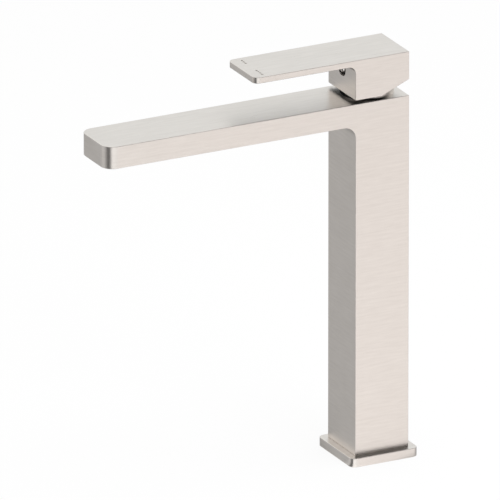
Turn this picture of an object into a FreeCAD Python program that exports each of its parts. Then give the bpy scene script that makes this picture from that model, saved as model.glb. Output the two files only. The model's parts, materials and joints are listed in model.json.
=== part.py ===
import FreeCAD, Part
import math
import os

# Tall single-lever basin faucet: a square column with a flat closed spout and a flat lever.
# All lengths are in millimetres. The origin is the centre of the base's underside, where it
# rests on the deck. +Z is up, the spout and the lever point to -Y, hot is on the -X side.

# ---- Driving dimensions: body, spout and base flange ----
body_width = 45.0
body_top = 288.8
body_wall = 3.0
cavity_corner_radius = 4.0
edge_break = 0.4
spout_reach = 231.5
spout_thickness = 17.65
spout_corner_radius = 9.6
spout_root_fillet = 9.5
flange_margin = 5.9
flange_height = 7.0
flange_corner_radius = 5.0

# ---- Driving dimensions: lever handle ----
lever_gap = 3.0
lever_height = 35.0
lever_reach = 107.4
lever_plate_thickness = 4.9
lever_corner_radius = 5.0
lever_root_fillet = 6.0
lever_relief_start = 0.7
lever_relief_height = 9.8
lever_wall = 3.5
lever_hollow_depth = 7.0
lever_hollow_radius = 3.0
lever_lift_deg = 25.0

# Engraved ticks near the lever's tip: fewer on the hot side, more on the cold side
mark_inset = 8.9
mark_offset = 12.8
mark_dash_length = 2.2
mark_dash_width = 1.3
mark_dash_pitch = 3.1
mark_depth = 0.3
hot_dashes = 3
cold_dashes = 4

# ---- Driving dimensions: screw that holds the handle on the stem ----
screw_height = 21.3
screw_radius = 2.0
screw_nose_radius = 2.8
screw_nose_out = 1.4
screw_collar_radius = 3.7
screw_collar_height = 0.6
screw_socket_across = 2.0
screw_socket_depth = 1.4
screw_bore_radius = 5.6
screw_bore_chamfer = 0.2
screw_seat_depth = 3.0
screw_washer_thickness = 0.9
screw_past_axis = 2.0

# ---- Driving dimensions: waterway and aerator ----
waterway_width = 34.0
waterway_floor = 3.5
waterway_roof = 3.5
waterway_end_wall = 6.0
waterway_root_wall = 2.5
outlet_setback = 21.5
aerator_radius = 12.0
aerator_bore_depth = 8.15
aerator_boss_wall = 2.0
aerator_boss_roof = 1.0
aerator_inflow_radius = 9.5
aerator_recess = 0.4
aerator_wall = 1.9
aerator_lip_width = 0.8
aerator_lip_height = 0.9
aerator_slot_width = 2.4
aerator_slot_depth = 1.6
aerator_slots = 4
aerator_seal_width = 2.6
aerator_seal_thickness = 1.0
screen_thickness = 0.8
screen_hole_radius = 0.7
screen_hole_pitch = 2.3
honeycomb_across = 2.6
honeycomb_pitch = 3.1
honeycomb_rim = 1.0

# ---- Driving dimensions: cartridge pocket in the head of the body ----
pocket_depth = 37.0
head_depth = 58.0
gallery_gap = 0.9
gallery_top_depth = 11.0
riser_width = 12.0
riser_wall = 2.3
trough_width = 7.0
trough_depth = 4.0
mouth_width = 22.0
inlet_radius = 4.46
inlet_depth = 12.0
port_radius = 3.0
port_x = 8.0
port_y = -2.0
outlet_port_radius = 3.2
outlet_port_y = 7.0

# ---- Driving dimensions: ceramic cartridge ----
cartridge_radius = 17.5
cartridge_wall = 1.6
shoulder_thickness = 3.2
shoulder_width = 3.7
neck_wall = 1.7
neck_top_depth = 0.5
cartridge_base_height = 6.0
cartridge_base_rim = 2.5
cartridge_base_wall = 1.3
disc_recess = 2.5
peg_radius = 1.25
peg_length = 2.5
peg_x = 12.0
peg_y = 8.0
port_seal_width = 1.1
port_seal_height = 1.6
disc_seal_width = 1.3
disc_seal_height = 1.0
disc_thickness = 4.0
mixing_lip = 1.7
mixing_start = 1.6
mixing_depth = 2.0
carrier_thickness = 4.0
carrier_tongue_width = 14.0
carrier_tongue_length = 16.0
carrier_lug_width = 3.0
carrier_lug_depth = 2.0
ball_cover = 1.5
ball_socket_margin = 0.6
barrel_drop = 0.5
oring_section = 1.3
retaining_nut_overhang = 1.0
retaining_nut_depth = 7.5
retaining_nut_collar = 0.9
retaining_nut_slots = 4
retaining_nut_slot_width = 3.5
retaining_nut_slot_depth = 3.0
limit_ring_height = 1.8
limit_ring_teeth = 24
limit_ring_tooth_width = 0.9
limit_ring_tooth_depth = 0.7

# ---- Driving dimensions: stem, pivot and cover ----
pivot_depth = 10.0
stem_width = 8.0
stem_top_height = 25.0
stem_foot_depth = 4.0
stem_arm = 8.0
stem_arm_radius = 2.2
stem_ball_radius = 3.0
pivot_pin_radius = 1.5
cover_overhang = 0.4
cover_band = 4.5
cover_thickness = 1.2
cover_opening_margin = 0.7

# ---- Driving dimensions: base fixing ----
insert_thickness = 10.0
insert_spigot = 4.0
flange_hole_radius = 18.5
hose_hole_radius = 6.75
post_radius = 4.3
post_height = 15.0
insert_screw_radius = 2.0
insert_screw_head_radius = 3.8
insert_screw_length = 18.0
insert_socket_across = 2.5
insert_socket_depth = 1.2
stud_radius = 3.0
stud_offset = 14.0
stud_set_back = 1.0
stud_length = 76.0
stud_end_chamfer = 0.6
base_seal_radius = 24.5
base_seal_width = 4.0
base_seal_height = 2.0
deck_thickness = 30.0
clamp_radius = 25.0
clamp_slot_radius = 9.0
clamp_slot_end = 6.5
gasket_thickness = 3.0
plate_thickness = 2.5
nut_across = 10.0
nut_height = 5.0
nut_flange_radius = 7.0
nut_flange_height = 1.3

# ---- Clearances ----
running_gap = 0.08
pin_gap = 0.05
moving_gap = 0.3
disc_gap = 1.0
cover_gap = 0.6
fitted_gap = 0.05
loose_gap = 0.2
film_gap = 0.05
tip_gap = 1.0

# ---- Places worked out from the sizes above ----
half_width = body_width / 2
flange_half = half_width + flange_margin
lift = math.radians(lever_lift_deg)

spout_underside = body_top - spout_thickness
waterway_bottom = spout_underside + waterway_floor
outlet_reach = spout_reach - outlet_setback
aerator_seat = spout_underside + aerator_bore_depth
aerator_bottom = spout_underside + aerator_recess
aerator_top = aerator_seat - aerator_seal_thickness
aerator_bore = aerator_radius - aerator_wall

lever_bottom = body_top + lever_gap
lever_top = body_top + lever_height
lever_underside = lever_top - lever_plate_thickness
screw_z = body_top + screw_height
screw_washer_front = -half_width + screw_seat_depth
screw_bore_floor = screw_washer_front + screw_washer_thickness

neck_radius = cartridge_radius - shoulder_width
retaining_nut_radius = cartridge_radius + retaining_nut_overhang
cover_radius = retaining_nut_radius + cover_overhang
cover_opening_radius = neck_radius + cover_opening_margin

pocket_floor = body_top - pocket_depth
head_bottom = body_top - head_depth
gallery_radius = cartridge_radius + gallery_gap
gallery_top = body_top - gallery_top_depth
land_radius = cartridge_radius + loose_gap
nut_seat = body_top - retaining_nut_depth

base_rim_top = pocket_floor + cartridge_base_rim
base_top = pocket_floor + cartridge_base_height
fixed_disc_bottom = base_top - disc_recess
moving_disc_bottom = fixed_disc_bottom + disc_thickness + film_gap
carrier_bottom = moving_disc_bottom + disc_thickness
carrier_top = carrier_bottom + carrier_thickness
housing_bore = cartridge_radius - cartridge_wall
fixed_disc_radius = housing_bore - fitted_gap - cartridge_base_wall - fitted_gap
moving_disc_radius = housing_bore - stem_arm * math.sin(lift) - disc_gap
mixing_radius = moving_disc_radius - mixing_lip
shoulder_bottom = nut_seat - shoulder_thickness
neck_top = body_top - neck_top_depth
neck_bore = neck_radius - neck_wall
barrel_radius = neck_bore - running_gap
barrel_top = neck_top - barrel_drop
carriage_bottom = carrier_top + moving_gap
carriage_flange_top = shoulder_bottom - moving_gap
carriage_seal_z = (nut_seat + neck_top) / 2

pivot_z = body_top - pivot_depth
ball_z = pivot_z - stem_arm
tongue_top = ball_z + ball_cover
cover_sphere = math.hypot(cover_radius, pivot_depth + cover_band)

cavity_half = half_width - body_wall
insert_top = flange_height + insert_thickness
insert_bottom = flange_height - insert_spigot
post_offset = cavity_half - post_radius
stud_top = insert_top - stud_set_back
gasket_bottom = -deck_thickness - gasket_thickness
plate_bottom = gasket_bottom - plate_thickness
nut_flange_bottom = plate_bottom - nut_flange_height

inlet_places = [(-port_x, port_y), (port_x, port_y)]
post_places = [(x, y) for x in (-post_offset, post_offset) for y in (-post_offset, post_offset)]
stud_places = [(0, -stud_offset), (0, stud_offset)]


# ---- Shape helpers ----
def vector(x, y, z):
    return FreeCAD.Vector(x, y, z)


def box(x0, x1, y0, y1, z0, z1):
    return Part.makeBox(x1 - x0, y1 - y0, z1 - z0, vector(x0, y0, z0))


def cylinder(radius, z0, z1, x=0.0, y=0.0):
    return Part.makeCylinder(radius, z1 - z0, vector(x, y, z0))


def cylinder_y(radius, y0, y1, z):
    return Part.makeCylinder(radius, y1 - y0, vector(0, y0, z), vector(0, 1, 0))


def cylinder_x(radius, x0, x1, z):
    return Part.makeCylinder(radius, x1 - x0, vector(x0, 0, z), vector(1, 0, 0))


def ring(outer, inner, z0, z1, x=0.0, y=0.0):
    return cylinder(outer, z0, z1, x, y).cut(cylinder(inner, z0, z1, x, y))


def o_ring(major, section, z):
    return Part.makeTorus(major, section / 2, vector(0, 0, z))


def hexagon(across, z0, z1, x=0.0, y=0.0):
    corner = across / math.sqrt(3)
    angles = [math.radians(60 * i) for i in range(6)]
    points = [vector(x + corner * math.cos(a), y + corner * math.sin(a), z0) for a in angles]
    face = Part.Face(Part.makePolygon(points + points[:1]))
    return face.extrude(vector(0, 0, z1 - z0))


def rounded_face(corners, to_space):
    """A flat face through the corners (a, b, radius), each corner rounded by its radius."""
    turns = []
    for i, (a, b, radius) in enumerate(corners):
        here = vector(a, b, 0)
        before = (vector(*corners[i - 1][:2], 0) - here).normalize()
        after = (vector(*corners[(i + 1) % len(corners)][:2], 0) - here).normalize()
        half_angle = before.getAngle(after) / 2
        trim = radius / math.tan(half_angle)
        inwards = (before + after).normalize()
        middle = here + inwards * (radius / math.sin(half_angle) - radius)
        turns.append((here + before * trim, middle, here + after * trim, radius))
    edges = []
    for i, (start, middle, stop, radius) in enumerate(turns):
        if radius > 0:
            edges.append(Part.Arc(to_space(start), to_space(middle), to_space(stop)).toShape())
        following = turns[(i + 1) % len(turns)][0]
        edges.append(Part.LineSegment(to_space(stop), to_space(following)).toShape())
    return Part.Face(Part.Wire(edges))


def side_prism(corners, half):
    """Extrude a side outline, given as (y, z, radius), across the width from -half to half."""
    face = rounded_face(corners, lambda p: vector(-half, p.x, p.y))
    return face.extrude(vector(2 * half, 0, 0))


def plan_prism(corners, z0, z1):
    """Extrude a plan outline, given as (x, y, radius), from z0 up to z1."""
    face = rounded_face(corners, lambda p: vector(p.x, p.y, z0))
    return face.extrude(vector(0, 0, z1 - z0))


def rounded_square(half, radius, z0, z1):
    corners = [(-half, -half, radius), (half, -half, radius), (half, half, radius), (-half, half, radius)]
    return plan_prism(corners, z0, z1)


def tongue_plan(half, front, rear, radius, z0, z1):
    """A long plan outline with a straight rear edge and two rounded corners at the front."""
    corners = [(-half, front, radius), (half, front, radius), (half, rear, 0), (-half, rear, 0)]
    return plan_prism(corners, z0, z1)


def normal_at(face, point):
    u, v = face.Surface.parameter(point)
    return face.normalAt(u, v)


def is_sharp(shape, edge):
    """Whether the two faces at this edge meet at an angle instead of running smoothly on."""
    faces = shape.ancestorsOfType(edge, Part.Face)
    if len(faces) != 2:
        return False
    middle = edge.valueAt((edge.FirstParameter + edge.LastParameter) / 2)
    return normal_at(faces[0], middle).getAngle(normal_at(faces[1], middle)) > math.radians(15)


def soften(shape, radius):
    """Round every sharp edge of a simple solid by a small radius."""
    return shape.makeFillet(radius, [edge for edge in shape.Edges if is_sharp(shape, edge)])


def lattice(pitch, reach):
    """Centres of a hexagonal lattice about the origin, out to the given reach."""
    rows = int(reach / pitch) + 2
    spots = []
    for i in range(-rows, rows + 1):
        for j in range(-rows, rows + 1):
            x = pitch * (i + j / 2)
            y = pitch * j * math.sqrt(3) / 2
            if math.hypot(x, y) <= reach:
                spots.append((x, y))
    return spots


def around(shape, count, start_deg=0.0):
    """Copies of a shape turned in equal steps about the vertical axis."""
    turned = []
    for i in range(count):
        piece = shape.copy()
        piece.rotate(vector(0, 0, 0), vector(0, 0, 1), start_deg + 360.0 * i / count)
        turned.append(piece)
    return turned


def at_outlet(shape):
    return shape.translated(vector(0, -outlet_reach, 0))


def stem_sweep(z):
    """How far behind the axis the fully tilted stem's rear face reaches at this height."""
    return (z - pivot_z) * math.tan(lift) + stem_width / 2 / math.cos(lift)


# ---- Body and base ----
def faucet_body():
    """One-piece column and spout, hollow for the hoses, with the cartridge pocket in its head."""
    outline = [
        (-half_width, flange_height, 0),
        (-half_width, spout_underside, spout_root_fillet),
        (-spout_reach, spout_underside, 0),
        (-spout_reach, body_top, 0),
        (half_width, body_top, 0),
        (half_width, flange_height, 0),
    ]
    side = side_prism(outline, half_width)
    plan = tongue_plan(half_width, -spout_reach, half_width, spout_corner_radius, flange_height, body_top)
    body = soften(side.common(plan), edge_break)
    return body.cut(hose_cavity()).cut(waterway()).cut(cartridge_pocket())


def hose_cavity():
    cavity = rounded_square(cavity_half, cavity_corner_radius, flange_height, head_bottom)
    post_top = insert_top + post_height
    for x, y in post_places:
        post = cylinder(post_radius, insert_top, post_top, x, y)
        corner_x = math.copysign(cavity_half, x)
        corner_y = math.copysign(cavity_half, y)
        corner = box(*sorted((x, corner_x)), *sorted((y, corner_y)), insert_top, post_top)
        screw_hole = cylinder(insert_screw_radius, insert_top, post_top - tip_gap, x, y)
        cavity = cavity.cut(post.fuse(corner)).fuse(screw_hole)
    for x, y in inlet_places:
        thread = cylinder(inlet_radius, head_bottom, head_bottom + inlet_depth, x, y)
        port = cylinder(port_radius, head_bottom + inlet_depth, pocket_floor, x, y)
        cavity = cavity.fuse(thread).fuse(port)
    return cavity


def waterway():
    """Flat channel along the spout, with the threaded aerator bore at its end."""
    start = -retaining_nut_radius - waterway_root_wall
    end = -spout_reach + waterway_end_wall
    half = waterway_width / 2
    channel = box(-half, half, end, start, waterway_bottom, body_top - waterway_roof)
    mouth = box(-mouth_width / 2, mouth_width / 2, start, -land_radius / 2, waterway_bottom, gallery_top)
    boss_top = aerator_seat + aerator_boss_roof
    boss = cylinder(aerator_radius + aerator_boss_wall, spout_underside, boss_top)
    bore = cylinder(aerator_radius, spout_underside, aerator_seat)
    inflow = cylinder(aerator_inflow_radius, aerator_seat, boss_top)
    return channel.cut(at_outlet(boss)).fuse(mouth).fuse(at_outlet(bore.fuse(inflow)))


def cartridge_pocket():
    """Stepped pocket: water gallery, sealing land and the retaining nut's thread."""
    gallery = cylinder(gallery_radius, pocket_floor, gallery_top)
    land = cylinder(land_radius, gallery_top, nut_seat)
    thread = cylinder(retaining_nut_radius, nut_seat, body_top)
    trough_floor = pocket_floor - trough_depth
    riser_front = -half_width + riser_wall
    riser_half = riser_width / 2
    riser = box(-riser_half, riser_half, riser_front, -cartridge_radius, trough_floor, gallery_top)
    trough_rear = outlet_port_y + outlet_port_radius
    trough_half = trough_width / 2
    trough = box(-trough_half, trough_half, riser_front, trough_rear, trough_floor, pocket_floor)
    pocket = gallery.fuse(land).fuse(thread).fuse(riser).fuse(trough)
    for x in (-peg_x, peg_x):
        hole_floor = pocket_floor - peg_length - loose_gap
        pocket = pocket.fuse(cylinder(peg_radius + fitted_gap, hole_floor, pocket_floor, x, peg_y))
    return pocket


def base_flange():
    """Square foot plate under the column, with a groove for the seal in its underside."""
    slab = rounded_square(flange_half, flange_corner_radius, 0, flange_height)
    top_edges = [edge for edge in slab.Edges if edge.BoundBox.ZMin > flange_height / 2]
    slab = slab.makeFillet(edge_break, top_edges)
    hole = cylinder(flange_hole_radius, 0, flange_height)
    return slab.cut(hole).cut(base_seal())


def base_seal():
    return ring(base_seal_radius, base_seal_radius - base_seal_width, 0, base_seal_height)


def base_insert():
    """Brass block in the column's foot: it holds the studs and lets the two hoses pass."""
    half = cavity_half - loose_gap
    block = rounded_square(half, cavity_corner_radius, flange_height, insert_top)
    block = block.fuse(cylinder(flange_hole_radius - loose_gap, insert_bottom, flange_height))
    for x, y in inlet_places:
        block = block.cut(cylinder(hose_hole_radius, insert_bottom, insert_top, x, y))
    for x, y in stud_places:
        block = block.cut(cylinder(stud_radius, insert_bottom, insert_top, x, y))
    for x, y in post_places:
        block = block.cut(countersunk(x, y, insert_top, insert_screw_radius + loose_gap, fitted_gap))
    return block


def countersunk(x, y, top, shank_radius, gap):
    """A countersunk screw's shape, head down on the insert's underside, grown by a gap."""
    head_radius = insert_screw_head_radius + gap
    head = Part.makeCone(head_radius, shank_radius, head_radius - shank_radius, vector(x, y, flange_height))
    return head.fuse(cylinder(shank_radius, flange_height, top, x, y))


def insert_screws():
    screws = []
    for x, y in post_places:
        top = flange_height + insert_screw_length
        socket = hexagon(insert_socket_across, flange_height, flange_height + insert_socket_depth, x, y)
        screws.append(countersunk(x, y, top, insert_screw_radius, 0).cut(socket))
    return Part.makeCompound(screws)


# ---- Fixing kit under the deck ----
def mounting_studs():
    studs = []
    for x, y in stud_places:
        rod = cylinder(stud_radius, stud_top - stud_length, stud_top, x, y)
        ends = [edge for edge in rod.Edges if isinstance(edge.Curve, Part.Circle)]
        studs.append(rod.makeChamfer(stud_end_chamfer, ends))
    return Part.makeCompound(studs)


def horseshoe(z0, z1):
    """Round plate with a slot open to the +X side, so that it slips past fitted hoses."""
    plate = cylinder(clamp_radius, z0, z1)
    slot_end = cylinder(clamp_slot_radius, z0, z1, -clamp_slot_end)
    slot = box(-clamp_slot_end, clamp_radius, -clamp_slot_radius, clamp_slot_radius, z0, z1)
    plate = plate.cut(slot_end.fuse(slot))
    for x, y in stud_places:
        plate = plate.cut(cylinder(stud_radius + moving_gap, z0, z1, x, y))
    return plate


def clamp_nuts():
    nuts = []
    for x, y in stud_places:
        collar = cylinder(nut_flange_radius, nut_flange_bottom, plate_bottom, x, y)
        nut = hexagon(nut_across, nut_flange_bottom - nut_height, nut_flange_bottom, x, y).fuse(collar)
        nuts.append(nut.cut(cylinder(stud_radius, nut_flange_bottom - nut_height, plate_bottom, x, y)))
    return Part.makeCompound(nuts)


# ---- Cartridge ----
def cartridge_base():
    """Lower part of the cartridge: ports, seal seats and the seat of the fixed disc."""
    base = cylinder(cartridge_radius, pocket_floor, base_rim_top)
    base = base.fuse(cylinder(housing_bore - fitted_gap, base_rim_top, base_top))
    base = base.cut(cylinder(fixed_disc_radius + fitted_gap, fixed_disc_bottom, base_top))
    for x in (-peg_x, peg_x):
        base = base.fuse(cylinder(peg_radius, pocket_floor - peg_length, pocket_floor, x, peg_y))
    for x, y, radius in disc_ports():
        base = base.cut(cylinder(radius, pocket_floor, fixed_disc_bottom, x, y))
    return base.cut(port_seals()).cut(disc_seals())


def disc_ports():
    """Hot, cold and mixed-water openings as (x, y, radius)."""
    inlets = [(x, y, port_radius) for x, y in inlet_places]
    return inlets + [(0, outlet_port_y, outlet_port_radius)]


def port_seals():
    top = pocket_floor + port_seal_height
    outer = port_radius + port_seal_width
    return Part.makeCompound([ring(outer, port_radius, pocket_floor, top, x, y) for x, y in inlet_places])


def disc_seals():
    bottom = fixed_disc_bottom - disc_seal_height
    rings = [ring(r + disc_seal_width, r, bottom, fixed_disc_bottom, x, y) for x, y, r in disc_ports()]
    return Part.makeCompound(rings)


def fixed_disc():
    disc = cylinder(fixed_disc_radius, fixed_disc_bottom, fixed_disc_bottom + disc_thickness)
    for x, y, radius in disc_ports():
        disc = disc.cut(cylinder(radius, fixed_disc_bottom, fixed_disc_bottom + disc_thickness, x, y))
    return disc


def moving_disc():
    """Ceramic disc with a D-shaped mixing chamber underneath that clears the inlets when shut."""
    disc = cylinder(moving_disc_radius, moving_disc_bottom, carrier_bottom)
    chamber_top = moving_disc_bottom + mixing_depth
    chamber = cylinder(mixing_radius, moving_disc_bottom, chamber_top)
    reach = mixing_radius
    front = box(-reach, reach, -reach, mixing_start, moving_disc_bottom, chamber_top)
    disc = disc.cut(chamber.cut(front))
    for lug in carrier_lugs(fitted_gap):
        disc = disc.cut(lug)
    return disc


def carrier_lugs(gap):
    """Two lugs at the disc's rim by which the carrier turns and pushes it."""
    lugs = []
    half = carrier_lug_width / 2 + gap
    inner = moving_disc_radius - carrier_lug_depth - gap
    rim = cylinder(moving_disc_radius, carrier_bottom - carrier_lug_depth, carrier_bottom)
    for side in (-1, 1):
        x0, x1 = sorted((side * inner, side * moving_disc_radius))
        slot = box(x0, x1, -half, half, carrier_bottom - carrier_lug_depth - gap, carrier_bottom)
        lugs.append(slot if gap else slot.common(rim))
    return lugs


def disc_carrier():
    """Plastic slider between the stem's ball and the moving disc."""
    carrier = cylinder(moving_disc_radius, carrier_bottom, carrier_top)
    half_x = carrier_tongue_width / 2
    half_y = carrier_tongue_length / 2
    carrier = carrier.fuse(box(-half_x, half_x, -half_y, half_y, carrier_top, tongue_top))
    for lug in carrier_lugs(0):
        carrier = carrier.fuse(lug)
    socket_floor = ball_z - stem_ball_radius - ball_socket_margin
    return carrier.cut(cylinder(stem_ball_radius + moving_gap, socket_floor, tongue_top))


def cartridge_housing():
    """Outer shell of the cartridge with the shoulder that the retaining nut presses on."""
    shell = cylinder(cartridge_radius, base_rim_top, nut_seat)
    shell = shell.cut(cylinder(housing_bore, base_rim_top, shoulder_bottom))
    shell = shell.fuse(cylinder(neck_radius, shoulder_bottom, neck_top))
    shell = shell.cut(cylinder(neck_bore, shoulder_bottom, neck_top))
    groove_half = oring_section / 2 + fitted_gap
    groove_floor = land_radius - film_gap - oring_section
    groove_z = nut_seat - shoulder_thickness / 2
    return shell.cut(ring(cartridge_radius, groove_floor, groove_z - groove_half, groove_z + groove_half))


def housing_seal():
    major = land_radius - film_gap - oring_section / 2
    return o_ring(major, oring_section, nut_seat - shoulder_thickness / 2)


def stem_carriage():
    """Turning part of the cartridge: it carries the stem's pin and guides the disc carrier."""
    body = cylinder(housing_bore - moving_gap, carriage_bottom, carriage_flange_top)
    body = body.fuse(cylinder(barrel_radius, carriage_flange_top, barrel_top))
    reach = housing_bore
    half_x = carrier_tongue_width / 2 + moving_gap
    channel = box(-half_x, half_x, -reach, reach, carriage_bottom, tongue_top + moving_gap)
    half_slot = stem_width / 2 + moving_gap
    front = -(stem_arm * math.sin(lift) + stem_ball_radius + moving_gap)
    rear = stem_sweep(barrel_top) + moving_gap
    slot = box(-half_slot, half_slot, front, rear, carriage_bottom, barrel_top)
    groove_half = oring_section / 2 + fitted_gap
    groove_floor = barrel_radius - oring_section
    groove = ring(barrel_radius, groove_floor, carriage_seal_z - groove_half, carriage_seal_z + groove_half)
    pin_hole = cylinder_x(pivot_pin_radius, -barrel_radius, barrel_radius, pivot_z)
    return body.cut(channel).cut(slot).cut(groove).cut(pin_hole)


def carriage_seal():
    return o_ring(barrel_radius - oring_section / 2, oring_section, carriage_seal_z)


def pivot_pin():
    half = barrel_radius - moving_gap
    return cylinder_x(pivot_pin_radius, -half, half, pivot_z)


def retaining_nut():
    """Threaded ring that presses the cartridge down, with slots for a pin spanner."""
    top = body_top - moving_gap
    collar_radius = cover_radius - cover_thickness - fitted_gap
    nut = cylinder(retaining_nut_radius - fitted_gap, nut_seat, top)
    nut = nut.fuse(cylinder(collar_radius, top, body_top + retaining_nut_collar))
    nut = nut.cut(cylinder(neck_radius + loose_gap, nut_seat, body_top + retaining_nut_collar))
    half = retaining_nut_slot_width / 2
    slot_top = body_top + retaining_nut_collar
    slot_floor = slot_top - retaining_nut_slot_depth
    slot = box(0, collar_radius - cover_thickness, -half, half, slot_floor, slot_top)
    for cutter in around(slot, retaining_nut_slots, 45.0):
        nut = nut.cut(cutter)
    return nut


def limit_ring():
    """Toothed ring on the cartridge's neck that sets the hot limit."""
    top = neck_top + limit_ring_height
    opening = math.hypot(stem_width / 2, stem_sweep(top)) + moving_gap
    stop_ring = ring(neck_radius, opening, neck_top, top)
    half = limit_ring_tooth_width / 2
    notch = box(neck_radius - limit_ring_tooth_depth, neck_radius + tip_gap, -half, half, neck_top, top)
    for cutter in around(notch, limit_ring_teeth):
        stop_ring = stop_ring.cut(cutter)
    return stop_ring


def cartridge_cover():
    """Trim ring on top of the body: an upright band that runs into a dome about the pivot."""
    centre = vector(0, 0, pivot_z)
    top = pivot_z + cover_sphere
    outer = cylinder(cover_radius, body_top, top).common(Part.makeSphere(cover_sphere, centre))
    inner = cylinder(cover_radius - cover_thickness, body_top, top)
    inner = inner.common(Part.makeSphere(cover_sphere - cover_thickness, centre))
    return outer.cut(inner).cut(cylinder(cover_opening_radius, body_top, top))


# ---- Lever ----
def lever_handle():
    """One-piece handle: a block, hollow below, over the cartridge and a flat plate to the tip."""
    outline = [
        (-half_width, lever_bottom, 0),
        (-half_width, lever_underside, lever_root_fillet),
        (-lever_reach, lever_underside, 0),
        (-lever_reach, lever_top, 0),
        (half_width, lever_top, 0),
        (half_width, lever_bottom + lever_relief_height, 0),
        (-lever_relief_start, lever_bottom, 0),
    ]
    side = side_prism(outline, half_width)
    plan = tongue_plan(half_width, -lever_reach, half_width, lever_corner_radius, lever_bottom, lever_top)
    handle = soften(side.common(plan), edge_break)
    hollow_top = lever_bottom + lever_hollow_depth
    hollow = rounded_square(half_width - lever_wall, lever_hollow_radius, lever_bottom, hollow_top)
    dome_space = Part.makeSphere(cover_sphere + cover_gap, vector(0, 0, pivot_z))
    half = stem_width / 2 + fitted_gap
    socket = box(-half, half, -half, half, pivot_z, body_top + stem_top_height + loose_gap)
    handle = handle.cut(hollow).cut(dome_space).cut(socket).cut(screw_bore())
    handle = handle.cut(engraved_marks(-mark_offset, hot_dashes))
    return handle.cut(engraved_marks(mark_offset, cold_dashes))


def screw_bore():
    """Chamfered counterbore, washer seat and clearance hole in the block's front face."""
    face_y = -half_width
    mouth_radius = screw_bore_radius + screw_bore_chamfer
    centre = vector(0, face_y, screw_z)
    mouth = Part.makeCone(mouth_radius, screw_bore_radius, screw_bore_chamfer, centre, vector(0, 1, 0))
    entry = cylinder_y(mouth_radius, face_y - lever_root_fillet / 2, face_y, screw_z)
    bore = cylinder_y(screw_bore_radius, face_y, screw_bore_floor, screw_z)
    way = cylinder_y(screw_radius + loose_gap, screw_bore_floor, 0, screw_z)
    return mouth.fuse(entry).fuse(bore).fuse(way)


def engraved_marks(x, count):
    y = -lever_reach + mark_inset
    half_length = mark_dash_length / 2
    half_breadth = mark_dash_width / 2
    dashes = []
    for i in range(count):
        middle = x + mark_dash_pitch * (i - (count - 1) / 2)
        dash = box(
            middle - half_length, middle + half_length,
            y - half_breadth, y + half_breadth,
            lever_top - mark_depth, lever_top,
        )
        dashes.append(dash)
    return Part.makeCompound(dashes)


def lever_stem():
    """Square stem on the pivot pin, with a ball below that moves the disc carrier."""
    half = stem_width / 2
    stem = box(-half, half, -half, half, pivot_z - stem_foot_depth, body_top + stem_top_height)
    stem = stem.fuse(cylinder(stem_arm_radius, ball_z, pivot_z - stem_foot_depth))
    stem = stem.fuse(Part.makeSphere(stem_ball_radius, vector(0, 0, ball_z)))
    stem = stem.cut(cylinder_x(pivot_pin_radius + pin_gap, -half, half, pivot_z))
    return stem.cut(cylinder_y(screw_radius, -half, half, screw_z))


def handle_screw():
    """Collar screw with a domed nose, through the block's front into the stem."""
    tip = -half_width - screw_nose_out
    nose_centre = tip + screw_nose_radius
    collar_front = screw_washer_front - screw_collar_height
    screw = Part.makeSphere(screw_nose_radius, vector(0, nose_centre, screw_z))
    screw = screw.common(cylinder_y(screw_nose_radius, tip, nose_centre, screw_z))
    screw = screw.fuse(cylinder_y(screw_nose_radius, nose_centre, collar_front, screw_z))
    screw = screw.fuse(cylinder_y(screw_collar_radius, collar_front, screw_washer_front, screw_z))
    screw = screw.fuse(cylinder_y(screw_radius, screw_washer_front, screw_past_axis, screw_z))
    socket = hexagon(screw_socket_across, 0, screw_socket_depth)
    socket.rotate(vector(0, 0, 0), vector(1, 0, 0), -90)
    socket.translate(vector(0, tip, screw_z))
    return screw.cut(socket)


def screw_washer():
    outer = cylinder_y(screw_bore_radius - fitted_gap, screw_washer_front, screw_bore_floor, screw_z)
    return outer.cut(cylinder_y(screw_radius, screw_washer_front, screw_bore_floor, screw_z))


# ---- Aerator at the spout's outlet ----
def aerator_housing():
    """Threaded ring with a lip below that holds the insert, and slots for its key."""
    housing = ring(aerator_radius - fitted_gap, aerator_bore, aerator_bottom, aerator_top)
    lip_radius = aerator_bore - aerator_lip_width
    lip_top = aerator_bottom + aerator_lip_height
    housing = housing.fuse(ring(aerator_bore, lip_radius, aerator_bottom, lip_top))
    half = aerator_slot_width / 2
    slot_top = aerator_bottom + aerator_slot_depth
    slot = box(aerator_bore, aerator_radius, -half, half, aerator_bottom, slot_top)
    for cutter in around(slot, aerator_slots):
        housing = housing.cut(cutter)
    return at_outlet(housing)


def aerator_insert():
    """Honeycomb flow straightener inside the housing."""
    bottom = aerator_bottom + aerator_lip_height
    top = aerator_top - screen_thickness
    insert = cylinder(aerator_bore - fitted_gap, bottom, top)
    reach = aerator_bore - honeycomb_rim - honeycomb_across / math.sqrt(3)
    cells = [hexagon(honeycomb_across, bottom, top, x, y) for x, y in lattice(honeycomb_pitch, reach)]
    return at_outlet(insert.cut(Part.makeCompound(cells)))


def aerator_screen():
    """Perforated disc on top of the insert."""
    bottom = aerator_top - screen_thickness
    screen = cylinder(aerator_bore - fitted_gap, bottom, aerator_top)
    reach = aerator_inflow_radius - honeycomb_rim - screen_hole_radius
    spots = lattice(screen_hole_pitch, reach)
    holes = [cylinder(screen_hole_radius, bottom, aerator_top, x, y) for x, y in spots]
    return at_outlet(screen.cut(Part.makeCompound(holes)))


def aerator_seal():
    outer = aerator_radius - loose_gap
    return at_outlet(ring(outer, outer - aerator_seal_width, aerator_top, aerator_seat))


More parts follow.
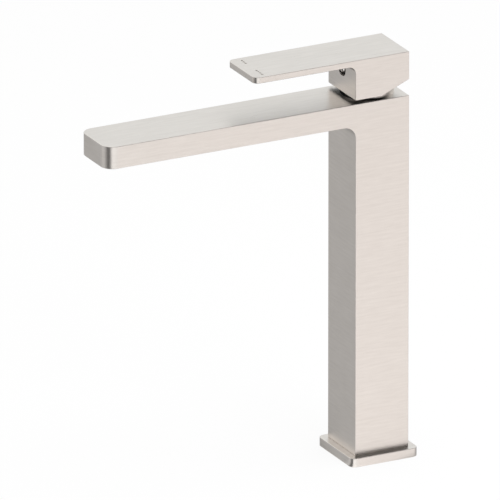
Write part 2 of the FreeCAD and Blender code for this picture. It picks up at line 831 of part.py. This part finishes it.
# ---- One file per piece ----
pieces = {
    "faucet_body": faucet_body(),
    "base_flange": base_flange(),
    "base_seal": base_seal(),
    "base_insert": base_insert(),
    "insert_screws": insert_screws(),
    "mounting_studs": mounting_studs(),
    "clamp_gasket": horseshoe(gasket_bottom, -deck_thickness),
    "clamp_plate": horseshoe(plate_bottom, gasket_bottom),
    "clamp_nuts": clamp_nuts(),
    "cartridge_base": cartridge_base(),
    "port_seals": port_seals(),
    "disc_seals": disc_seals(),
    "fixed_disc": fixed_disc(),
    "moving_disc": moving_disc(),
    "disc_carrier": disc_carrier(),
    "cartridge_housing": cartridge_housing(),
    "housing_seal": housing_seal(),
    "stem_carriage": stem_carriage(),
    "carriage_seal": carriage_seal(),
    "pivot_pin": pivot_pin(),
    "retaining_nut": retaining_nut(),
    "limit_ring": limit_ring(),
    "cartridge_cover": cartridge_cover(),
    "lever_handle": lever_handle(),
    "lever_stem": lever_stem(),
    "handle_screw": handle_screw(),
    "screw_washer": screw_washer(),
    "aerator_housing": aerator_housing(),
    "aerator_insert": aerator_insert(),
    "aerator_screen": aerator_screen(),
    "aerator_seal": aerator_seal(),
}

os.makedirs("parts", exist_ok=True)
for name, shape in pieces.items():
    shape.exportStep(f"parts/{name}.step")
    print(f"{name}: {len(shape.Solids)} solids, {shape.Volume / 1000:.2f} cm3, valid {shape.isValid()}")
print(f"disc travel per radian of lift: {stem_arm * math.sin(lift) / lift:.4f} mm")
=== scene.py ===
"""Looks of a tall single-lever basin faucet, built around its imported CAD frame.

Lengths are metres in the CAD's frame: the deck is z = 0, the spout points to -Y, the cold side is +X.
The CAD nodes keep their shapes and get their finishes here, and the two studs get real threads.
Round them stand a pale floor, two soft lamps and cards that show only in the object's gloss.
"""

import json
import math

import bpy
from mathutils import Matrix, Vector


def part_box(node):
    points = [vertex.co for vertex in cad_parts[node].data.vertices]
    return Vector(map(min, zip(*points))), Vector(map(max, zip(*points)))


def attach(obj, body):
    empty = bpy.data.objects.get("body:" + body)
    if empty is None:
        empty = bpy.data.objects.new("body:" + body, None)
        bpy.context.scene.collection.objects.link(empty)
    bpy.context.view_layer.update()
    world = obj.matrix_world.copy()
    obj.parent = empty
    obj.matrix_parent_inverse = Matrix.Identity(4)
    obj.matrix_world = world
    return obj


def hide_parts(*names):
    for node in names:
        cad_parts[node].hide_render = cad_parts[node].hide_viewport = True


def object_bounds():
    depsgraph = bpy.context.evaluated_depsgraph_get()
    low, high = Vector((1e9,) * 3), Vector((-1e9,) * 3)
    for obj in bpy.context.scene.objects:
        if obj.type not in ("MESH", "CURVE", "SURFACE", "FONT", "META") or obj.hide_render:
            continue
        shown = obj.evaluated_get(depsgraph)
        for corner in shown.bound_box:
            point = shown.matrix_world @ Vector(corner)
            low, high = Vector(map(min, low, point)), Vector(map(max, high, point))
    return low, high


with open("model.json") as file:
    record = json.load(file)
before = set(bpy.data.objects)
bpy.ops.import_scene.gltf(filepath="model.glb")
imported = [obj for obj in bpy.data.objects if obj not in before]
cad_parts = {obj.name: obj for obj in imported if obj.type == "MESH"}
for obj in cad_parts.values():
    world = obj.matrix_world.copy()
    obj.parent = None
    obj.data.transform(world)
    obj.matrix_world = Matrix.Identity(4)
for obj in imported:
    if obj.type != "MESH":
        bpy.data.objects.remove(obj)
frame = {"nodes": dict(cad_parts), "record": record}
cad_low, cad_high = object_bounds()
nodes = frame["nodes"]

# ---- Places on the object, read from the frame ----
BODY_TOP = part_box("faucet_body")[1].z
BLOCK_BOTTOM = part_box("lever_handle")[0].z
BLOCK_HALF_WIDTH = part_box("lever_handle")[1].x
BLOCK_FRONT = -BLOCK_HALF_WIDTH
SCREW_HEIGHT = sum(corner.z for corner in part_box("handle_screw")) / 2

# ---- Camera: nearly parallel, from the right of the front and a little above ----
CAMERA_PLACE = (14.66960, -7.58497, 6.36572)
CAMERA_AZIMUTH = 62.9675
CAMERA_ELEVATION = 20.5917
CAMERA_LENS = 1690.0
CAMERA_SENSOR = 36.0
CAMERA_NEAR = 5.0
CAMERA_FAR = 60.0


def direction(azimuth, elevation):
    """Unit vector towards a place at this azimuth (0 is -Y, 90 is +X) and elevation, in degrees."""
    azimuth = math.radians(azimuth)
    elevation = math.radians(elevation)
    level = math.cos(elevation)
    return Vector((math.sin(azimuth) * level, -math.cos(azimuth) * level, math.sin(elevation)))


def place_object(name, data):
    """Object in the scene that holds this mesh, lamp or camera."""
    made = bpy.data.objects.new(name, data)
    bpy.context.scene.collection.objects.link(made)
    return made


def make_camera():
    data = bpy.data.cameras.new("camera")
    data.lens = CAMERA_LENS
    data.sensor_width = CAMERA_SENSOR
    data.clip_start = CAMERA_NEAR
    data.clip_end = CAMERA_FAR
    camera = place_object("camera", data)
    camera.location = CAMERA_PLACE
    camera.rotation_mode = "QUATERNION"
    towards = -direction(CAMERA_AZIMUTH, CAMERA_ELEVATION)
    camera.rotation_quaternion = towards.to_track_quat("-Z", "Y")
    bpy.context.scene.camera = camera


# ---- Node helpers ----
# A Mix node has sockets for every kind of value. For two kinds: the places of both inputs and the result.
MIX_SOCKETS = {"FLOAT": (2, 3, 0), "RGBA": (6, 7, 2)}
REMAP_SOCKETS = ("From Min", "From Max", "To Min", "To Max")


class Nodes:
    """Short calls for building one node tree. Elsewhere such a builder is called t."""

    def __init__(self, tree):
        self.tree = tree
        tree.nodes.clear()

    def add(self, kind, **settings):
        node = self.tree.nodes.new(kind)
        for name, value in settings.items():
            setattr(node, name, value)
        return node

    def link(self, source, target):
        self.tree.links.new(source, target)

    def put(self, socket, value):
        """Links a socket, or writes a plain value into it."""
        if isinstance(value, bpy.types.NodeSocket):
            self.link(value, socket)
        elif value is not None:
            socket.default_value = value

    def math(self, operation, a, b=None):
        node = self.add("ShaderNodeMath", operation=operation)
        self.put(node.inputs[0], a)
        self.put(node.inputs[1], b)
        return node.outputs[0]

    def length(self, vector):
        node = self.add("ShaderNodeVectorMath", operation="LENGTH")
        self.link(vector, node.inputs[0])
        return node.outputs["Value"]

    def mix(self, factor, a, b, kind="FLOAT"):
        """Blend of two numbers, or of two colours where the kind is RGBA."""
        first, second, result = MIX_SOCKETS[kind]
        node = self.add("ShaderNodeMix", data_type=kind)
        self.put(node.inputs[0], factor)
        self.put(node.inputs[first], a)
        self.put(node.inputs[second], b)
        return node.outputs[result]

    def split(self, vector):
        """The x, y and z of a vector."""
        node = self.add("ShaderNodeSeparateXYZ")
        self.link(vector, node.inputs[0])
        return node.outputs

    def join(self, x, y, z):
        """Vector from its x, y and z."""
        node = self.add("ShaderNodeCombineXYZ")
        for socket, value in zip(node.inputs, (x, y, z)):
            self.put(socket, value)
        return node.outputs[0]

    def noise(self, vector, scale, detail, roughness=0.5):
        node = self.add("ShaderNodeTexNoise")
        self.link(vector, node.inputs["Vector"])
        node.inputs["Scale"].default_value = scale
        node.inputs["Detail"].default_value = detail
        node.inputs["Roughness"].default_value = roughness
        return node.outputs["Fac"]

    def remap(self, value, low, high, to_low=0.0, to_high=1.0):
        """The value's share of the way from low to high, from 0 to 1 or between two other numbers."""
        node = self.add("ShaderNodeMapRange")
        self.put(node.inputs["Value"], value)
        for name, number in zip(REMAP_SOCKETS, (low, high, to_low, to_high)):
            node.inputs[name].default_value = number
        return node.outputs[0]

    def ramp(self, value, stops):
        """Colour ramp from (position, grey or colour) stops."""
        node = self.add("ShaderNodeValToRGB")
        self.link(value, node.inputs[0])
        elements = node.color_ramp.elements
        while len(elements) < len(stops):
            elements.new(position=0.5)
        for element, (position, color) in zip(elements, stops):
            if not isinstance(color, tuple):
                color = (color, color, color)
            element.position = position
            element.color = (*color, 1.0)
        return node.outputs[0]

    def bump(self, height, strength, distance):
        """Normal that follows this height, with a distance in metres."""
        node = self.add("ShaderNodeBump")
        node.inputs["Strength"].default_value = strength
        node.inputs["Distance"].default_value = distance
        self.link(height, node.inputs["Height"])
        return node.outputs[0]

    def mix_shaders(self, factor, a, b):
        node = self.add("ShaderNodeMixShader")
        for socket, source in zip(node.inputs, (factor, a, b)):
            self.link(source, socket)
        return node.outputs[0]

    def surface(self, shader, output="ShaderNodeOutputMaterial"):
        """Ends the tree with this shader."""
        node = self.add(output)
        self.link(shader, node.inputs["Surface"])


def new_material(name):
    material = bpy.data.materials.new(name)
    material.use_nodes = True
    return material, Nodes(material.node_tree)


def principled(t, color, metallic, roughness, normal, stretch=0.0, tangent=None):
    """Principled surface that ends the tree. Highlights are stretched along the tangent."""
    shader = t.add("ShaderNodeBsdfPrincipled")
    t.put(shader.inputs["Base Color"], color)
    shader.inputs["Metallic"].default_value = metallic
    t.put(shader.inputs["Roughness"], roughness)
    t.put(shader.inputs["Normal"], normal)
    shader.inputs["Anisotropic"].default_value = stretch
    t.put(shader.inputs["Tangent"], tangent)
    t.surface(shader.outputs[0])


# ---- Brushed nickel ----
# A face counts as level or front when its normal's share along Z or Y is above this.
FACING_SHARE = 0.72
# Shifts of the noise that keep the streaks of front, level and side faces from lining up.
FRONT_SHIFT = 3.1
LEVEL_SHIFT = 7.3

# Length and width of the streaks along the brushing.
FINE_STREAK = (0.026, 0.0002)
COARSE_STREAK = (0.020, 0.0018)
STREAK_DETAIL = 3.0
STREAK_ROUGHNESS = 0.6
CLOUD_SCALE = 42.0
CLOUD_DETAIL = 3.0
CLOUD_SHARE = 0.35

NICKEL_TONES = [(0.30, (0.738, 0.694, 0.650)), (0.70, (0.822, 0.778, 0.734))]
NICKEL_ROUGHNESS = (0.27, 0.33)
# The fine streaks and the clouds added up: the range that is spread over the roughness.
ROUGHNESS_NOISE = (0.6, 1.4)
BRUSHED_STRETCH = 0.6
STREAK_BUMP = 0.06
STREAK_DEPTH = 0.00002

# Painted shade: a dark colour under the handle and on the body's top beneath it. A pale dull finish in
# the screw's bore.
PAINTED_SHADE_COLOR = (0.045, 0.043, 0.041, 1.0)
PAINTED_SHADE_ROUGHNESS = 0.48
DULL_COLOR = (0.80, 0.76, 0.72, 1.0)
DULL_ROUGHNESS = 0.62

# The handle gets painted shade on faces that look down, from this share of the normal to this one.
DOWN_SHARE = (0.22, 0.70)
# It also gets painted shade in its hollow: this far in from the block's sides and up to this far above
# its bottom.
HOLLOW_INSET = 0.0008
HOLLOW_RISE = 0.0132
# The body's top gets painted shade in a disc under the block. Its edge fades over these insets from the
# block's side, its rear edge over these places along Y, and it reaches this far below the body's top.
COVERED_INSETS = (0.0004, 0.0009)
COVERED_REAR = (0.006, 0.000)
COVERED_DEPTH = 0.0004
# The wall of the screw's bore lies within this radius, between these depths behind the block's front.
SCREW_BORE_RADIUS = 0.0059
SCREW_BORE_DEPTHS = (0.0001, 0.0075)


class FaceGrain:
    """Brushing of flat faces: level round the sides, and along the spout on top and underneath."""

    def __init__(self, t):
        self.t = t
        source = t.add("ShaderNodeTexCoord")
        self.place = source.outputs["Object"]
        x, y, z = t.split(self.place)
        _, ny, nz = t.split(source.outputs["Normal"])
        self.down = t.math("MULTIPLY", nz, -1.0)
        level = t.math("GREATER_THAN", t.math("ABSOLUTE", nz), FACING_SHARE)
        front = t.math("GREATER_THAN", t.math("ABSOLUTE", ny), FACING_SHARE)
        self.along = t.mix(front, y, x)
        self.across = t.mix(level, z, x)
        front_shift = t.math("MULTIPLY", front, FRONT_SHIFT)
        self.side = t.math("ADD", front_shift, t.math("MULTIPLY", level, LEVEL_SHIFT))
        upright = t.math("SUBTRACT", 1.0, level)
        turned = t.add("ShaderNodeVectorTransform", vector_type="VECTOR")
        turned.convert_from = "OBJECT"
        turned.convert_to = "WORLD"
        t.link(t.join(level, 0.0, upright), turned.inputs[0])
        self.tangent = turned.outputs[0]

    def streaks(self, length, width):
        """Noise stretched along the brushing: sizes in metres."""
        t = self.t
        place = t.join(
            t.math("DIVIDE", self.along, length), t.math("DIVIDE", self.across, width), self.side
        )
        return t.noise(place, scale=1.0, detail=STREAK_DETAIL, roughness=STREAK_ROUGHNESS)


def handle_painted_shade(t, grain):
    """Painted shade: 1 on the handle's faces that look down and in its hollow, 0 elsewhere."""
    x, y, z = t.split(grain.place)
    reach = t.math("MAXIMUM", t.math("ABSOLUTE", x), t.math("ABSOLUTE", y))
    within = t.math("LESS_THAN", reach, BLOCK_HALF_WIDTH - HOLLOW_INSET)
    below = t.math("LESS_THAN", z, BLOCK_BOTTOM + HOLLOW_RISE)
    hollow = t.math("MULTIPLY", within, below)
    return t.math("MAXIMUM", t.remap(grain.down, *DOWN_SHARE), hollow)


def painted_shade_under_block(t, grain):
    """Painted shade: 1 on the part of the body's top hidden under the front half of the handle's block, 0
    elsewhere.
    """
    x, y, z = t.split(grain.place)
    outer, inner = (BLOCK_HALF_WIDTH - inset for inset in COVERED_INSETS)
    inside = t.remap(t.length(t.join(x, y, 0.0)), outer, inner)
    front = t.remap(y, *COVERED_REAR)
    top = t.math("GREATER_THAN", z, BODY_TOP - COVERED_DEPTH)
    return t.math("MULTIPLY", inside, t.math("MULTIPLY", front, top))


def in_screw_bore(t, grain):
    """1 on the wall of the bore round the handle's screw, 0 elsewhere."""
    x, y, z = t.split(grain.place)
    across = t.join(x, 0.0, t.math("SUBTRACT", z, SCREW_HEIGHT))
    inside = t.math("LESS_THAN", t.length(across), SCREW_BORE_RADIUS)
    first, last = (BLOCK_FRONT + depth for depth in SCREW_BORE_DEPTHS)
    deep = t.math("MULTIPLY", t.math("GREATER_THAN", y, first), t.math("LESS_THAN", y, last))
    return t.math("MULTIPLY", inside, deep)


def brushed_nickel(name, painted_shade_place=None, dull_place=None):
    """Warm grey nickel, brushed along each face, with slight clouding; painted shade or a dull finish in
    these places.
    """
    material, t = new_material(name)
    grain = FaceGrain(t)
    fine = grain.streaks(*FINE_STREAK)
    coarse = grain.streaks(*COARSE_STREAK)
    clouds = t.noise(grain.place, CLOUD_SCALE, CLOUD_DETAIL)
    color = t.ramp(t.mix(CLOUD_SHARE, coarse, clouds), NICKEL_TONES)
    roughness = t.remap(t.math("ADD", fine, clouds), *ROUGHNESS_NOISE, *NICKEL_ROUGHNESS)
    # Painted shade: the dark colour goes where the mask marks shade under the handle.
    if painted_shade_place:
        painted_shade = painted_shade_place(t, grain)
        color = t.mix(painted_shade, color, PAINTED_SHADE_COLOR, "RGBA")
        roughness = t.mix(painted_shade, roughness, PAINTED_SHADE_ROUGHNESS)
    if dull_place:
        dull = dull_place(t, grain)
        color = t.mix(dull, color, DULL_COLOR, "RGBA")
        roughness = t.mix(dull, roughness, DULL_ROUGHNESS)
    normal = t.bump(fine, STREAK_BUMP, STREAK_DEPTH)
    principled(
        t,
        color,
        metallic=1.0,
        roughness=roughness,
        normal=normal,
        stretch=BRUSHED_STRETCH,
        tangent=grain.tangent,
    )
    return material


# ---- Machined, plated and moulded finishes ----
MOTTLE_DETAIL = 4.0
MOTTLE_DARKER = 0.86
MOTTLE_RANGE = (0.32, 0.62)
SKIN_FINER = 9.0
SKIN_DETAIL = 3.0
SKIN_RANGE = (0.3, 0.7)
SKIN_DEPTH = 0.00004

# Colour, metallic, lowest and highest roughness, scale of the mottling, strength of the skin's bump.
PLAIN = {
    "brass": ((0.80, 0.58, 0.28), 1.0, 0.22, 0.36, 300.0, 0.10),
    "steel": ((0.62, 0.62, 0.64), 1.0, 0.28, 0.42, 350.0, 0.12),
    "stainless": ((0.66, 0.65, 0.63), 1.0, 0.18, 0.30, 350.0, 0.08),
    "ceramic": ((0.86, 0.85, 0.81), 0.0, 0.12, 0.22, 200.0, 0.04),
    "cartridge_plastic": ((0.72, 0.73, 0.74), 0.0, 0.38, 0.52, 260.0, 0.12),
    "carriage_plastic": ((0.09, 0.10, 0.12), 0.0, 0.36, 0.50, 260.0, 0.12),
    "limit_plastic": ((0.52, 0.04, 0.03), 0.0, 0.36, 0.50, 260.0, 0.12),
    "aerator_plastic": ((0.70, 0.72, 0.72), 0.0, 0.34, 0.46, 260.0, 0.12),
    "rubber": ((0.018, 0.018, 0.019), 0.0, 0.55, 0.75, 420.0, 0.25),
}
POLISHED = ((0.94, 0.92, 0.90), 1.0, 0.18, 0.24, 350.0, 0.02)


def plain_finish(name, color, metallic, low, high, scale, dent):
    """Machined, plated or moulded finish with mottled colour and a fine uneven skin."""
    material, t = new_material(name)
    place = t.add("ShaderNodeTexCoord").outputs["Object"]
    mottle = t.noise(place, scale, MOTTLE_DETAIL)
    skin = t.noise(place, scale * SKIN_FINER, SKIN_DETAIL)
    darker = tuple(MOTTLE_DARKER * c for c in color)
    tone = t.ramp(mottle, list(zip(MOTTLE_RANGE, (darker, color))))
    roughness = t.remap(skin, *SKIN_RANGE, low, high)
    principled(t, tone, metallic, roughness, t.bump(skin, dent, SKIN_DEPTH))
    return material


def make_finishes():
    """One finish for each material slot of the record."""
    made = {"brushed_nickel": brushed_nickel("brushed_nickel")}
    for slot, values in PLAIN.items():
        made[slot] = plain_finish(slot, *values)
    return made


def dress_nodes(finishes):
    """Gives each CAD node its slot's finish, except three that have one of their own."""
    own = {
        # The handle and the body carry painted shade: dark under the handle and on the body's top beneath
        # it.
        "lever_handle": brushed_nickel("handle_nickel", handle_painted_shade, in_screw_bore),
        "faucet_body": brushed_nickel("body_nickel", painted_shade_under_block),
        "handle_screw": plain_finish("polished_steel", *POLISHED),
    }
    slots = {part["node"]: part["material_slot"] for part in frame["record"]["subparts"]}
    for name, node in nodes.items():
        node.data.materials.clear()
        node.data.materials.append(own.get(name, finishes[slots[name]]))


# ---- Meshes ----
CIRCLE_STEPS = 96


def mesh_object(name, points, faces):
    mesh = bpy.data.meshes.new(name)
    mesh.from_pydata(points, [], faces)
    mesh.update()
    return place_object(name, mesh)


def circle_points(radius, z, centre=(0.0, 0.0)):
    turns = [2 * math.pi * i / CIRCLE_STEPS for i in range(CIRCLE_STEPS)]
    return [(centre[0] + radius * math.cos(a), centre[1] + radius * math.sin(a), z) for a in turns]


def disc_object(name, radius, z, centre=(0.0, 0.0)):
    return mesh_object(name, circle_points(radius, z, centre), [list(range(CIRCLE_STEPS))])


def band_object(name, radius, low, high, centre):
    """Upright band round a centre, open at the top and bottom."""
    points = circle_points(radius, low, centre) + circle_points(radius, high, centre)
    faces = []
    for here in range(CIRCLE_STEPS):
        beside = (here + 1) % CIRCLE_STEPS
        faces.append([here, beside, CIRCLE_STEPS + beside, CIRCLE_STEPS + here])
    return mesh_object(name, points, faces)


# ---- Threads of the two studs under the deck ----
THREAD_PITCH = 0.001
THREAD_DEPTH = 0.00054
THREAD_SIDES = 24
ROWS_PER_PITCH = 6


def thread_radius(crest, turn, height, bottom, top):
    """Radius of the thread here: a helical groove that fades into the stud's pointed ends."""
    phase = (height / THREAD_PITCH - turn) % 1.0
    groove = THREAD_DEPTH * (1.0 - abs(2.0 * phase - 1.0))
    end = max(0.0, THREAD_DEPTH - min(height - bottom, top - height))
    return crest - max(groove, end)


def threaded_rod(low, high):
    """Points and faces of one closed threaded rod that fills the box from low to high."""
    middle = (low + high) / 2
    crest = (high.x - low.x) / 2
    rings = round((high.z - low.z) / THREAD_PITCH * ROWS_PER_PITCH)
    points = []
    for i in range(rings + 1):
        z = low.z + (high.z - low.z) * i / rings
        for k in range(THREAD_SIDES):
            turn = k / THREAD_SIDES
            radius = thread_radius(crest, turn, z, low.z, high.z)
            angle = 2 * math.pi * turn
            points.append((middle.x + radius * math.cos(angle), middle.y + radius * math.sin(angle), z))
    faces = [list(range(THREAD_SIDES))[::-1]]
    for i in range(rings):
        for k in range(THREAD_SIDES):
            here = i * THREAD_SIDES + k
            beside = i * THREAD_SIDES + (k + 1) % THREAD_SIDES
            faces.append([here, beside, beside + THREAD_SIDES, here + THREAD_SIDES])
    faces.append([rings * THREAD_SIDES + k for k in range(THREAD_SIDES)])
    return points, faces


def make_threaded_studs(material):
    """Both studs with real threads, each in the place of its plain solid."""
    low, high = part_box("mounting_studs")
    width = high.x - low.x
    points, faces = [], []
    for start in (low.y, high.y - width):
        corner = Vector((low.x, start, low.z))
        rod_points, rod_faces = threaded_rod(corner, corner + Vector((width, width, high.z - low.z)))
        faces += [[len(points) + index for index in face] for face in rod_faces]
        points += rod_points
    studs = mesh_object("threaded_studs", points, faces)
    studs.data.materials.append(material)
    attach(studs, "fixed_body")
    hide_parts("mounting_studs")


# ---- World and floor ----
WHITE = (1.0, 1.0, 1.0, 1.0)
WORLD_LIGHT = 0.70
FLOOR_RADIUS = 6.0
FLOOR_COLOR = (0.93, 0.93, 0.93, 1.0)
# How much of the floor's look is plain white where it is seen directly: the rest takes the shadow.
BACKGROUND_SHARE = 0.90


def seen_directly(t):
    """1 for rays that look at the background: from the camera, off gloss and through glass."""
    path = t.add("ShaderNodeLightPath")
    found = path.outputs["Is Camera Ray"]
    for name in ("Is Glossy Ray", "Is Transmission Ray"):
        found = t.math("MAXIMUM", found, path.outputs[name])
    return found


def white_background(t, strength):
    node = t.add("ShaderNodeBackground")
    node.inputs["Color"].default_value = WHITE
    node.inputs["Strength"].default_value = strength
    return node.outputs[0]


def make_world():
    """Soft light from all round, white where it is seen directly."""
    world = bpy.data.worlds.new("studio")
    world.use_nodes = True
    t = Nodes(world.node_tree)
    light = white_background(t, WORLD_LIGHT)
    white = white_background(t, 1.0)
    t.surface(t.mix_shaders(seen_directly(t), light, white), "ShaderNodeOutputWorld")
    bpy.context.scene.world = world


def make_floor():
    """Pale floor: nearly white where it is seen directly, with the object's soft shadow kept."""
    floor = disc_object("floor", FLOOR_RADIUS, 0.0)
    material, t = new_material("floor")
    pale = t.add("ShaderNodeBsdfDiffuse")
    pale.inputs["Color"].default_value = FLOOR_COLOR
    white = t.add("ShaderNodeEmission")
    white.inputs["Strength"].default_value = 1.0
    share = t.math("MULTIPLY", seen_directly(t), BACKGROUND_SHARE)
    t.surface(t.mix_shaders(share, pale.outputs[0], white.outputs[0]))
    floor.data.materials.append(material)


# ---- Cards round the object ----
CARDS_RADIUS = 3.0
CARDS_TOP = 3.3
CARDS_LIFT = 0.0003
CARDS_CENTRE = (0.022, -0.022)

WARM = (1.0, 0.966, 0.955)
COOL = (0.985, 1.012, 1.020)


def tinted(value, tint):
    return tuple(value * c for c in tint)


# Azimuth in degrees and brightness. Upright faces mirror the low cards, and tops mirror the high ones.
LOW_CARDS = (
    (-180, 0.38), (-170, 0.28), (-143, 0.15), (-110, 0.12), (-90, 0.24), (-75, 0.455), (-70, 0.475),
    (-66, 0.495), (-63.5, 0.488), (-50, 0.455), (-42, 0.47), (-28, 0.60), (-17, 0.63), (-6, 0.60),
    (2, 0.45), (11, 0.26), (19, 0.14), (27, 0.14), (35, 0.20), (40, 0.50), (45, 1.14), (53, 1.30),
    (63, 1.32), (74, 1.20), (87, 1.13), (106, tinted(1.13, WARM)), (117, tinted(1.13, WARM)),
    (165, tinted(1.06, WARM)), (175, 0.45),
)
HIGH_CARDS = (
    (-180, 0.80), (-160, tinted(0.94, COOL)), (-117, tinted(0.93, COOL)), (-90, tinted(0.94, COOL)),
    (-63, 0.95), (-40, 0.80), (-12, 0.55), (2, 0.20), (30, 0.12), (60, 0.06), (84, 0.02), (117, 0.02),
    (140, 0.03), (165, 0.35), (180, 0.80),
)


def azimuth_share(t, x, y):
    """0 to 1 for azimuths -180 to 180 degrees, with -Y at 0 degrees and +X at 90."""
    turn = t.math("ARCTAN2", x, t.math("MULTIPLY", y, -1.0))
    return t.remap(turn, -math.pi, math.pi)


def card_material(name, cards):
    """Glow that changes with the azimuth round the cards' centre."""
    material, t = new_material(name)
    place = t.add("ShaderNodeNewGeometry").outputs["Position"]
    x, y, _ = t.split(place)
    x = t.math("SUBTRACT", x, CARDS_CENTRE[0])
    y = t.math("SUBTRACT", y, CARDS_CENTRE[1])
    stops = [((angle + 180.0) / 360.0, glow) for angle, glow in cards]
    shader = t.add("ShaderNodeEmission")
    t.link(t.ramp(azimuth_share(t, x, y), stops), shader.inputs["Color"])
    t.surface(shader.outputs[0])
    material.cycles.emission_sampling = "NONE"
    return material


def make_cards():
    """Grey, white and black cards on the floor and upright, which only glossy rays see."""
    low = disc_object("cards_low", CARDS_RADIUS, CARDS_LIFT, CARDS_CENTRE)
    high = band_object("cards_high", CARDS_RADIUS, CARDS_LIFT, CARDS_TOP, CARDS_CENTRE)
    for card, cards in ((low, LOW_CARDS), (high, HIGH_CARDS)):
        card.data.materials.append(card_material(card.name, cards))
        card.visible_camera = False
        card.visible_diffuse = False
        card.visible_transmission = False
        card.visible_shadow = False
        card.visible_volume_scatter = False


# ---- Lamps ----
# Name, azimuth and elevation in degrees, distance and diameter in metres, power in watts.
LAMPS = (
    ("lamp_over", 150.0, 72.0, 2.0, 1.6, 16.0),
    ("lamp_side", 100.0, 38.0, 2.4, 1.4, 12.0),
)


def make_lamp(name, azimuth, elevation, distance, size, power):
    """Soft round lamp that aims at the object's middle and doesn't show in its gloss."""
    data = bpy.data.lights.new(name, "AREA")
    data.shape = "DISK"
    data.size = size
    data.energy = power
    lamp = place_object(name, data)
    middle = (cad_low + cad_high) / 2
    towards = direction(azimuth, elevation)
    lamp.location = middle + towards * distance
    lamp.rotation_mode = "QUATERNION"
    lamp.rotation_quaternion = towards.to_track_quat("Z", "Y")
    lamp.visible_glossy = False


make_camera()
make_world()
make_floor()
make_cards()
for lamp in LAMPS:
    make_lamp(*lamp)
finishes = make_finishes()
dress_nodes(finishes)
make_threaded_studs(finishes["steel"])
bpy.context.scene.view_settings.view_transform = "Standard"
